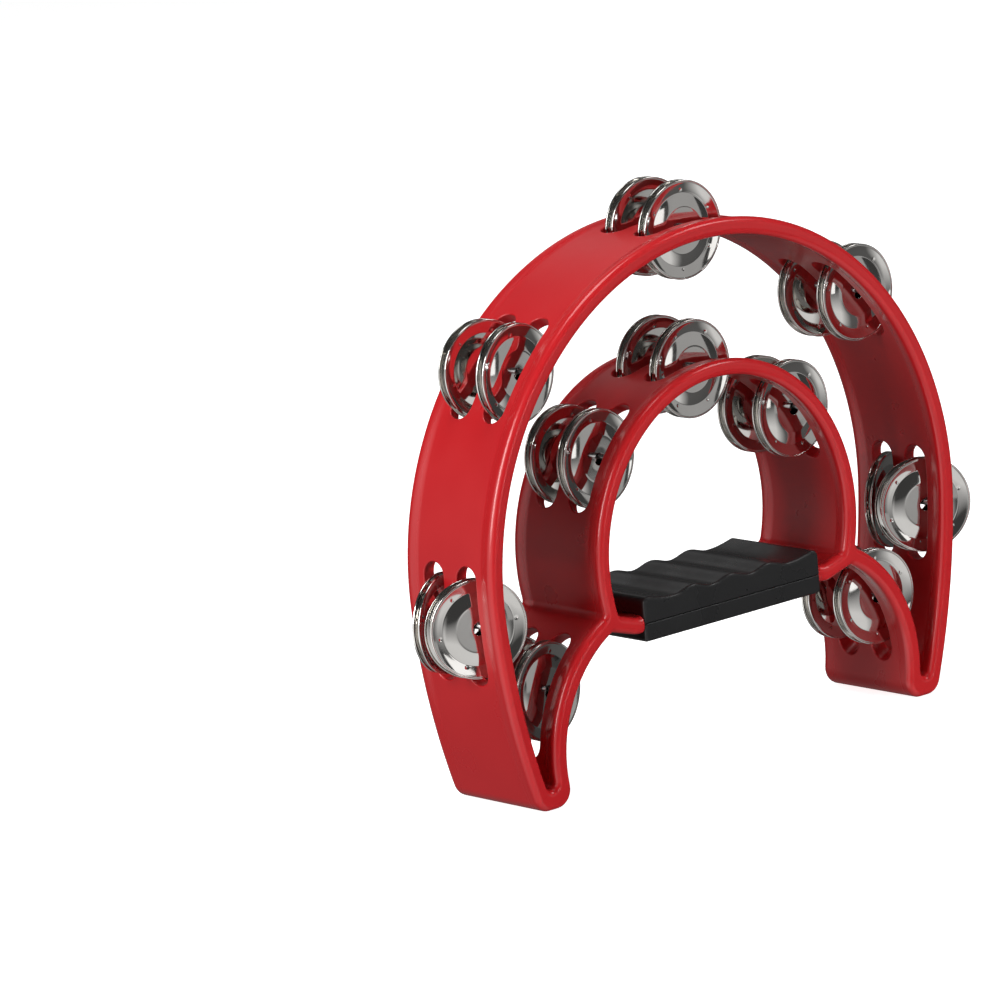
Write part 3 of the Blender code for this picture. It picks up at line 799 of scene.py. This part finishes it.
def lathe(name, profile, steps):
    """Turned solid about local Z; its profile starts and ends on the axis."""
    mesh = bmesh.new()
    rings = []
    for radius, height in profile:
        turns = [2 * math.pi * i / steps for i in range(steps)] if radius else [0.0]
        rings.append([mesh.verts.new((radius * math.cos(t), radius * math.sin(t), height)) for t in turns])
    for ring_a, ring_b in zip(rings, rings[1:]):
        for i in range(steps):
            j = (i + 1) % steps
            corners = [ring_a[i % len(ring_a)], ring_a[j % len(ring_a)]]
            corners += [ring_b[j % len(ring_b)], ring_b[i % len(ring_b)]]
            mesh.faces.new(list(dict.fromkeys(corners)))
    made = link_mesh(name, mesh)
    made.data.shade_smooth()
    made.data.set_sharp_from_angle(angle=SHARP_ANGLE)
    return made


PIN_R = 1.2 * MM
PIN_CHAMFER = 0.3 * MM
PIN_STEPS = 32
PIN_SINK = 0.05 * MM


def make_pins():
    """Ten drawn pins with turned ends; their back ends sit flush in the back rim."""
    pins = []
    for node in nodes_named("pin_"):
        low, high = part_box(node)
        span = DEPTH / 2 - PIN_SINK - low.y
        profile = (
            (0.0, 0.0),
            (PIN_R - PIN_CHAMFER, 0.0),
            (PIN_R, PIN_CHAMFER),
            (PIN_R, span - PIN_CHAMFER),
            (PIN_R - PIN_CHAMFER / 2, span - PIN_CHAMFER / 4),
            (PIN_R - PIN_CHAMFER * 2, span),
            (0.0, span),
        )
        pin = lathe(node + "_rod", profile, PIN_STEPS)
        x, _, z = middle_of(low, high)
        pin.location = (x, low.y, z)
        pin.rotation_euler = (-math.pi / 2, 0.0, 0.0)
        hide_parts(node)
        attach(pin, ROOT)
        pins.append(pin)
    return pins


pins = make_pins()

SCREW_SHANK_R = 1.4 * MM
SCREW_HEAD_H = 1.5 * MM
SCREW_STEPS = 40
DOME_SHARE = 0.55
DOME_STEPS = 9
CROSS_WIDTH = 0.85 * MM
CROSS_LENGTH = 3.2 * MM
CROSS_DEPTH = 0.9 * MM
CROSS_TAPER = 0.55
CROSS_CLEAR = 0.3 * MM


def make_screws():
    """Four pan-head screws with a cross recess, head down."""
    screws = []
    for node in nodes_named("grip_screw"):
        low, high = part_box(node)
        radius = (high.x - low.x) / 2
        length = high.z - low.z
        turns = [math.pi / 2 * i / DOME_STEPS for i in range(DOME_STEPS + 1)]
        rise = SCREW_HEAD_H * DOME_SHARE
        dome = [(radius * math.sin(turn), rise * (1 - math.cos(turn))) for turn in turns]
        profile = dome + [
            (radius, SCREW_HEAD_H),
            (SCREW_SHANK_R, SCREW_HEAD_H),
            (SCREW_SHANK_R, length),
            (0.0, length),
        ]
        screw = lathe(node + "_turned", profile, SCREW_STEPS)
        x, y, _ = middle_of(low, high)
        screw.location = (x, y, low.z)
        bpy.context.view_layer.update()
        cut_away(screw, make_cross(screw.location))
        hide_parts(node)
        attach(screw, ROOT)
        screws.append(screw)
    return screws


def make_cross(place):
    """Cross-shaped cutter that narrows as it goes in."""
    mesh = bmesh.new()
    arm = CROSS_WIDTH / 2
    tip = CROSS_LENGTH / 2
    outline = []
    for quarter in range(4):
        turn = Matrix.Rotation(math.pi / 2 * quarter + math.pi / 4, 2)
        outline += [turn @ Vector(p) for p in ((tip, -arm), (tip, arm), (arm, arm))]
    rings = []
    for height, share in ((-CROSS_CLEAR, 1.0), (CROSS_DEPTH, CROSS_TAPER)):
        rings.append([mesh.verts.new((p.x * share, p.y * share, height)) for p in outline])
    close_rings(mesh, rings)
    cutter = link_mesh("cross_cutter", mesh)
    cutter.location = place
    return cutter


screws = make_screws()


# ---- jingles

JINGLE_R = 19.42 * MM
SHEET = 0.5 * MM
HOLE_R = 2.45 * MM
CROWN_R = 9.4 * MM
CROWN_H = 1.8 * MM
CENTRE_H = 1.74 * MM
VALLEY_R = 14.4 * MM
VALLEY_ROUND = 0.35 * MM
VALLEY_IN_RISE = 0.09 * MM
VALLEY_OUT_RISE = 0.07 * MM
VALLEY_FLAT = 0.12 * MM
BEAD_R = 18.75 * MM
RIM_RISE = 1.2 * MM
BEAD_THICK = 0.75 * MM
SLOPE_BOW = 0.12 * MM
SLOPE_STEPS = 8
DIMPLES = 6
DIMPLE_R = 15.5 * MM
DIMPLE_SIZE = 0.5 * MM
DIMPLE_DEPTH = 0.2 * MM
DIMPLE_REACH = 1.4 * MM
DIMPLE_STEPS = 5
FREE_STEPS = 9
FLANGE_STEPS = 13
BEAD_FOOT = 0.12 * MM
BEAD_LIP = 0.2 * MM
BEAD_ROUND_STEPS = 8
HOLE_CHAMFER = 0.1 * MM
CROWN_STOPS = [
    (2.57 * MM, CENTRE_H),
    (5.0 * MM, CENTRE_H),
    (8.5 * MM, CENTRE_H),
    (8.9 * MM, CENTRE_H + 0.02 * MM),
    (9.2 * MM, CROWN_H - 0.02 * MM),
]
GOLDEN = math.radians(137.5)
RIM_SHARE = 0.95
CENTRING_ROUNDS = 3


def slope(start, end, bow, steps):
    """Stops between two places of the profile, bowed upwards."""
    stops = []
    for i in range(steps + 1):
        share = i / steps
        height = start[1] + (end[1] - start[1]) * share + bow * 4 * share * (1 - share)
        stops.append((start[0] + (end[0] - start[0]) * share, height))
    return stops


def upper_face():
    """The jingle's upper face from its hole to the foot of its rim bead."""
    rim_foot = SHEET + RIM_RISE * (BEAD_R - VALLEY_R) / (JINGLE_R - VALLEY_R)
    valley_in = (VALLEY_R - VALLEY_ROUND, SHEET + VALLEY_IN_RISE)
    valley_out = (VALLEY_R + VALLEY_ROUND, SHEET + VALLEY_OUT_RISE)
    shoulder = slope((CROWN_R, CROWN_H), valley_in, SLOPE_BOW, SLOPE_STEPS)
    valley = [(VALLEY_R - VALLEY_FLAT, SHEET + 0.01 * MM), (VALLEY_R + VALLEY_FLAT, SHEET)]
    flange = slope(valley_out, (BEAD_R - BEAD_FOOT, rim_foot), -SLOPE_BOW, FLANGE_STEPS)
    return CROWN_STOPS + shoulder + valley + flange


def jingle_profile():
    """Closed profile of the pressed disc: radius and height."""
    over = upper_face()
    middle = (BEAD_R + JINGLE_R) / 2
    half = (JINGLE_R - BEAD_R) / 2
    top = RIM_RISE + SHEET
    bead = []
    for i in range(BEAD_ROUND_STEPS + 1):
        turn = math.pi * (1 - i / BEAD_ROUND_STEPS)
        bead.append((middle + half * math.cos(turn), top - half + half * math.sin(turn)))
    edge = [(JINGLE_R, top - BEAD_THICK), (JINGLE_R - BEAD_LIP, top - BEAD_THICK - BEAD_FOOT)]
    under = [(r, max(h - SHEET, 0.0)) for r, h in reversed(over[1:])]
    hole = [(HOLE_R + HOLE_CHAMFER, CENTRE_H - SHEET), (HOLE_R, CENTRE_H - SHEET + HOLE_CHAMFER)]
    return [(HOLE_R, CENTRE_H - HOLE_CHAMFER)] + over + bead + edge + under + hole


def jingle_turns():
    """Angles round the jingle, close together at the dimples."""
    turns = []
    reach = DIMPLE_REACH / DIMPLE_R
    for k in range(DIMPLES):
        middle = 2 * math.pi * k / DIMPLES
        turns += [middle + reach * (i / DIMPLE_STEPS - 1) for i in range(2 * DIMPLE_STEPS + 1)]
        free = 2 * math.pi / DIMPLES - 2 * reach
        turns += [middle + reach + free * i / FREE_STEPS for i in range(1, FREE_STEPS)]
    return turns


def dimple(radius, turn):
    """How far the sheet is pressed in at a point of the flange."""
    nearest = round(turn * DIMPLES / (2 * math.pi)) * 2 * math.pi / DIMPLES
    away = math.hypot(radius - DIMPLE_R, (turn - nearest) * DIMPLE_R)
    return DIMPLE_DEPTH * math.exp(-((away / DIMPLE_SIZE) ** 2))


def profile_normals(profile):
    """Normals of a closed profile."""
    normals = []
    for i, point in enumerate(profile):
        before = profile[i - 1]
        after = profile[(i + 1) % len(profile)]
        normals.append(Vector((before[1] - after[1], after[0] - before[0])).normalized())
    return normals


def make_jingle_mesh():
    """Mesh of one jingle, crown up along local Z."""
    build = Builder()
    profile = jingle_profile()
    normals = profile_normals(profile)
    columns = []
    for turn in jingle_turns():
        out = Vector((math.cos(turn), math.sin(turn), 0.0))
        around = Vector((-math.sin(turn), math.cos(turn), 0.0))
        column = []
        for (radius, height), normal in zip(profile, normals):
            tilt_out = (dimple(radius + PROBE, turn) - dimple(radius - PROBE, turn)) / (2 * PROBE)
            spread = PROBE / radius
            tilt_around = (dimple(radius, turn + spread) - dimple(radius, turn - spread)) / (2 * PROBE)
            look = out * (normal[0] + normal[1] * tilt_out) + around * (normal[1] * tilt_around)
            look.z = normal[1]
            place = out * radius
            place.z = height - dimple(radius, turn)
            column.append(build.add(place, look))
        columns.append(column)
    for column_a, column_b in zip(columns, columns[1:] + columns[:1]):
        join_rings(build, column_a, column_b)
    master = build.to_object("jingle_master")
    data = master.data
    bpy.data.objects.remove(master, do_unlink=True)
    return data


def disc_place(node):
    """A packed jingle's place, at the middle of its valley's underside, and its crown's direction."""
    points = np.array([v.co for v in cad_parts[node].data.vertices], float)
    points = np.unique(np.round(points, 7), axis=0)
    axis = np.linalg.svd(points - points.mean(0), full_matrices=False)[2][2]

    def from_axis(middle):
        heights = (points - middle) @ axis
        return heights, np.linalg.norm(points - middle - np.outer(heights, axis), axis=1)

    middle = (points.min(0) + points.max(0)) / 2
    for _ in range(CENTRING_ROUNDS):
        _, reach = from_axis(middle)
        middle = points[reach > RIM_SHARE * reach.max()].mean(0)
    heights, reach = from_axis(middle)
    valley = heights[abs(reach - VALLEY_R) < MM].mean()
    if valley > 0:
        axis = -axis
        heights = -heights
    return Vector(middle + axis * heights.min()), Vector(axis)


def make_jingles():
    """Forty jingles, each on its packed disc's place and body."""
    data = make_jingle_mesh()
    jingles = []
    for number, node in enumerate(nodes_named("jingle_")):
        place, crown = disc_place(node)
        across = Vector((0.0, 0.0, 1.0)).cross(crown).normalized()
        up = crown.cross(across)
        turn = Matrix((across, up, crown)).transposed().to_4x4()
        own = data.copy()
        own.transform(Matrix.Translation(place) @ turn @ Matrix.Rotation(GOLDEN * number, 4, "Z"))
        disc = link_object(node + "_disc", own)
        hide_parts(node)
        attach(disc, node.replace("jingle_", "disc_"))
        jingles.append(disc)
    return jingles


jingles = make_jingles()


# ---- materials


class Nodes:
    """Short calls for the nodes that the materials and the world share."""

    def __init__(self, tree):
        self.tree = tree

    def remap(self, value, *limits):
        """Clamped linear map of one range on another."""
        node = self.tree.nodes.new("ShaderNodeMapRange")
        for name, limit in zip(("From Min", "From Max", "To Min", "To Max"), limits):
            node.inputs[name].default_value = limit
        self.tree.links.new(value, node.inputs["Value"])
        return node.outputs["Result"]

    def math(self, operation, *values):
        """Operation on sockets and numbers."""
        node = self.tree.nodes.new("ShaderNodeMath")
        node.operation = operation
        for socket, value in zip(node.inputs, values):
            if isinstance(value, (int, float)):
                socket.default_value = value
            else:
                self.tree.links.new(value, socket)
        return node.outputs["Value"]


class Shader(Nodes):
    """Node material."""

    def __init__(self, name, colour, roughness, metallic=0.0):
        self.material = bpy.data.materials.new(name)
        self.material.use_nodes = True
        super().__init__(self.material.node_tree)
        self.surface = self.tree.nodes["Principled BSDF"]
        self.set("Base Color", (*colour, 1.0))
        self.set("Roughness", roughness)
        self.set("Metallic", metallic)
        self.where = self.tree.nodes.new("ShaderNodeTexCoord").outputs["Object"]

    def set(self, socket, value):
        """Set a constant on the surface."""
        self.surface.inputs[socket].default_value = value

    def link(self, output, socket):
        """Feed one of the surface's sockets."""
        self.tree.links.new(output, self.surface.inputs[socket])

    def noise(self, scale, detail=2.0, stretch=(1.0, 1.0, 1.0)):
        """Noise between 0 and 1; scale is in features per metre."""
        mapping = self.tree.nodes.new("ShaderNodeMapping")
        mapping.inputs["Scale"].default_value = stretch
        self.tree.links.new(self.where, mapping.inputs["Vector"])
        noise = self.tree.nodes.new("ShaderNodeTexNoise")
        noise.inputs["Scale"].default_value = scale
        noise.inputs["Detail"].default_value = detail
        self.tree.links.new(mapping.outputs["Vector"], noise.inputs["Vector"])
        return noise.outputs["Fac"]

    def mix(self, factor, colour_a, colour_b):
        """Mix of two colours."""
        node = self.tree.nodes.new("ShaderNodeMix")
        node.data_type = "RGBA"
        self.tree.links.new(factor, node.inputs["Factor"])
        for name, colour in (("A", colour_a), ("B", colour_b)):
            socket = next(s for s in node.inputs if s.name == name and s.type == "RGBA")
            socket.default_value = (*colour, 1.0)
        return next(s for s in node.outputs if s.type == "RGBA")

    def bump(self, height, distance, below=None):
        """Bump over an optional earlier bump."""
        node = self.tree.nodes.new("ShaderNodeBump")
        node.inputs["Strength"].default_value = 1.0
        node.inputs["Distance"].default_value = distance
        self.tree.links.new(height, node.inputs["Height"])
        if below is not None:
            self.tree.links.new(below, node.inputs["Normal"])
        return node.outputs["Normal"]


def red_plastic():
    """Glossy red moulding with faint flow marks, grain on the web and fine handling marks."""
    shader = Shader("red_abs_moulded", (0.60, 0.016, 0.020), 0.3)
    cloud = shader.noise(14.0, 3.0)
    share = shader.remap(cloud, 0.35, 0.65, 0.0, 1.0)
    colour = shader.mix(share, (0.575, 0.014, 0.019), (0.62, 0.018, 0.022))
    shader.link(colour, "Base Color")
    split = shader.tree.nodes.new("ShaderNodeSeparateXYZ")
    shader.tree.links.new(shader.where, split.inputs["Vector"])
    depth = shader.math("ABSOLUTE", split.outputs["Y"], 0.0)
    bead = shader.remap(depth, WEB_Y, RIM_FULL_Y, 0.0, 1.0)
    smudge = shader.noise(55.0, 4.0)
    web_rough = shader.remap(smudge, 0.3, 0.7, 0.27, 0.36)
    rough = shader.math("SUBTRACT", web_rough, shader.math("MULTIPLY", bead, 0.10))
    shader.link(rough, "Roughness")
    grain = shader.noise(2600.0, 2.0)
    flow = shader.noise(90.0, 2.0, (1.0, 0.35, 1.0))
    waves = shader.bump(flow, 0.02 * MM)
    shader.link(shader.bump(grain, 0.003 * MM, waves), "Normal")
    return shader.material


def black_plastic():
    """Satin black moulding of the grip, with fine grain and polished high spots."""
    shader = Shader("black_grip_satin", (0.0175, 0.0175, 0.018), 0.3)
    shader.set("Specular IOR Level", 0.4)
    smudge = shader.noise(60.0, 4.0)
    shader.link(shader.remap(smudge, 0.3, 0.7, 0.24, 0.36), "Roughness")
    colour = shader.mix(shader.noise(25.0, 3.0), (0.0145, 0.0145, 0.015), (0.0205, 0.0205, 0.021))
    shader.link(colour, "Base Color")
    grain = shader.noise(2200.0, 2.0)
    flow = shader.noise(120.0, 2.0)
    waves = shader.bump(flow, 0.03 * MM)
    shader.link(shader.bump(grain, 0.006 * MM, waves), "Normal")
    return shader.material


def nickel():
    """Mirror nickel on pressed sheet: faint dulling, hairlines and a slight waviness."""
    shader = Shader("nickel_mirror", (0.74, 0.72, 0.69), 0.08, 1.0)
    smudge = shader.noise(180.0, 5.0)
    shader.link(shader.remap(smudge, 0.35, 0.75, 0.045, 0.13), "Roughness")
    tint = shader.mix(shader.noise(120.0, 3.0), (0.76, 0.745, 0.72), (0.69, 0.67, 0.64))
    shader.link(tint, "Base Color")
    wave = shader.bump(shader.noise(120.0, 1.0), 0.006 * MM)
    hairs = shader.noise(900.0, 3.0, (1.0, 0.06, 1.0))
    shader.link(shader.bump(hairs, 0.0005 * MM, wave), "Normal")
    return shader.material


def drawn_steel():
    """Bright drawn steel of the pins, with fine lines along them."""
    shader = Shader("pin_drawn_steel", (0.55, 0.55, 0.56), 0.25, 1.0)
    lines = shader.noise(2500.0, 3.0, (1.0, 1.0, 0.03))
    shader.link(shader.remap(lines, 0.3, 0.7, 0.18, 0.34), "Roughness")
    shader.link(shader.bump(lines, 0.004 * MM), "Normal")
    return shader.material


def zinc():
    """Zinc-plated screw steel with a mottled passivation."""
    shader = Shader("screw_zinc", (0.5, 0.51, 0.53), 0.35, 1.0)
    mottle = shader.noise(1500.0, 4.0)
    shader.link(shader.remap(mottle, 0.3, 0.7, 0.25, 0.45), "Roughness")
    tint = shader.mix(mottle, (0.52, 0.53, 0.56), (0.42, 0.43, 0.45))
    shader.link(tint, "Base Color")
    return shader.material


def dress(pieces, material):
    """Give pieces their material."""
    for piece in pieces:
        piece.data.materials.clear()
        piece.data.materials.append(material)


dress([frame_shell], red_plastic())
grip_black = black_plastic()
dress(grips[:1], grip_black)
dress(grips[1:], grip_black)
dress(jingles, nickel())
dress(pins, drawn_steel())
dress(screws, zinc())


# ---- camera, floor and light

CAMERA_YAW = math.radians(41.0)
CAMERA_PITCH = math.radians(11.88)
CAMERA_ROLL = math.radians(-4.53)
CAMERA_DISTANCE = 2352.0 * MM
CAMERA_RIGHT = -73.3 * MM
CAMERA_DOWN = -11.9 * MM
CAMERA_LENS = 216.0
SENSOR_WIDTH = 36.0
AIM_POINT = Vector((0.0, 0.0, 0.1))
FRONT_PLACE = (0.15, -1.6, 0.30)
FRONT_SIZE = (0.50, 0.62)
FLOOR_SIZE = 12.0
FLOOR_GLOW = 0.88
DARK_LIGHT = 0.05
TABLE_LIGHT = 0.47
TABLE_SHINE = 0.25
LEFT_SHINE = 1.2
BACK_SHINE = 0.4


def make_camera():
    """Camera in front, to the left and a little above."""
    forward = Vector((
        math.sin(CAMERA_YAW) * math.cos(CAMERA_PITCH),
        math.cos(CAMERA_YAW) * math.cos(CAMERA_PITCH),
        -math.sin(CAMERA_PITCH),
    ))
    level = Vector((math.cos(CAMERA_YAW), -math.sin(CAMERA_YAW), 0.0))
    above = level.cross(forward)
    right = level * math.cos(CAMERA_ROLL) + above * math.sin(CAMERA_ROLL)
    up = above * math.cos(CAMERA_ROLL) - level * math.sin(CAMERA_ROLL)
    centre = Vector((0.0, 0.0, FRAME_Z))
    place = centre - forward * CAMERA_DISTANCE + right * CAMERA_RIGHT - up * CAMERA_DOWN
    data = bpy.data.cameras.new("camera")
    data.lens = CAMERA_LENS
    data.sensor_width = SENSOR_WIDTH
    data.clip_start = 0.1
    camera = link_object("camera", data)
    turn = Matrix((right, up, -forward)).transposed().to_4x4()
    camera.matrix_world = Matrix.Translation(place) @ turn
    bpy.context.scene.camera = camera


def make_sheet(name, size, colour, roughness, glow):
    """Flat, evenly glowing part of the stage."""
    mesh = bmesh.new()
    grid = Matrix.Diagonal((size[0] / 2, size[1] / 2, 1.0, 1.0))
    bmesh.ops.create_grid(mesh, x_segments=1, y_segments=1, size=1.0, matrix=grid)
    sheet = link_mesh(name, mesh)
    shader = Shader(name, colour, roughness)
    shader.set("Emission Color", (1.0, 1.0, 1.0, 1.0))
    shader.set("Emission Strength", glow)
    sheet.data.materials.append(shader.material)
    return sheet


def make_floor():
    """Plain pale floor."""
    floor = make_sheet("floor", (FLOOR_SIZE, FLOOR_SIZE), (0.80, 0.80, 0.80), 0.8, FLOOR_GLOW)
    floor.visible_diffuse = False
    floor.visible_glossy = False


def aimed(place):
    """Rotation that faces the instrument from a place."""
    aim = AIM_POINT - Vector(place)
    return aim.to_track_quat("-Z", "Y").to_euler()


def make_light(name, place, size, power):
    """Soft rectangular light aimed at the instrument."""
    data = bpy.data.lights.new(name, "AREA")
    data.shape = "RECTANGLE"
    data.size, data.size_y = size
    data.energy = power
    light = link_object(name, data)
    light.location = place
    light.rotation_euler = aimed(place)
    return light


def make_card(name, place, size, glow):
    """Evenly lit card beside the set, for the metal to reflect."""
    card = make_sheet(name, size, (0.0, 0.0, 0.0), 1.0, glow)
    card.location = place
    card.rotation_euler = aimed(place)
    card.visible_camera = False
    card.visible_shadow = False


def make_world():
    """Dark surroundings over a pale table that is lightest in front; the camera itself sees them white.
    Reflections alone see painted bright bands at the left and behind, above, and a brighter table; these
    light nothing.
    """
    world = bpy.data.worlds.new("studio")
    world.use_nodes = True
    tree = world.node_tree
    background = tree.nodes["Background"]
    where = tree.nodes.new("ShaderNodeTexCoord")
    split = tree.nodes.new("ShaderNodeSeparateXYZ")
    tree.links.new(where.outputs["Generated"], split.inputs["Vector"])
    rays = tree.nodes.new("ShaderNodeLightPath").outputs
    x, y, z = split.outputs
    value = Nodes(tree)
    down = value.remap(z, -0.05, -0.40, 0.0, 1.0)
    front = value.remap(y, 0.2, -0.7, 0.22, 1.0)
    right = value.remap(x, 0.35, 0.55, 1.0, 0.08)
    left = value.remap(x, -0.62, -0.85, 0.0, LEFT_SHINE)
    behind = value.remap(y, 0.50, 0.70, 0.0, BACK_SHINE)
    above = value.remap(z, 0.28, 0.50, 0.0, 1.0)
    beyond = value.remap(x, 0.2, 0.45, 0.0, 1.0)
    table = value.math("MULTIPLY", value.math("MULTIPLY", down, front), right)
    # Painted reflections: the table's extra shine and the bands at the left and behind are seen by glossy
    # rays only.
    strength = value.math("MULTIPLY_ADD", rays["Is Glossy Ray"], TABLE_SHINE, TABLE_LIGHT)
    bright = value.math("MULTIPLY_ADD", value.math("MULTIPLY", behind, above), beyond, left)
    sides = value.math("MULTIPLY_ADD", bright, rays["Is Glossy Ray"], DARK_LIGHT)
    light = value.math("MULTIPLY_ADD", table, strength, sides)
    tree.links.new(value.math("ADD", rays["Is Camera Ray"], light), background.inputs["Strength"])
    background.inputs["Color"].default_value = (1.0, 1.0, 1.0, 1.0)
    bpy.context.scene.world = world


make_camera()
make_floor()
make_world()
make_light("front_box", FRONT_PLACE, FRONT_SIZE, 15.0).visible_glossy = False
make_light("right_box", (1.15, -0.75, 1.35), (0.5, 0.5), 4.0)
make_light("left_box", (-1.8, -0.05, 0.90), (0.7, 1.2), 28.0)
make_light("top_box", (-0.1, 0.1, 2.0), (0.8, 0.8), 12.0)
make_light("back_box", (0.5, 1.7, 1.1), (1.0, 1.0), 10.0).visible_glossy = False
make_card("front_card", FRONT_PLACE, FRONT_SIZE, 1.25)
make_card("grey_card", (1.25, -1.5, 0.35), (1.3, 1.3), 0.38)
bpy.context.scene.view_settings.view_transform = "Standard"
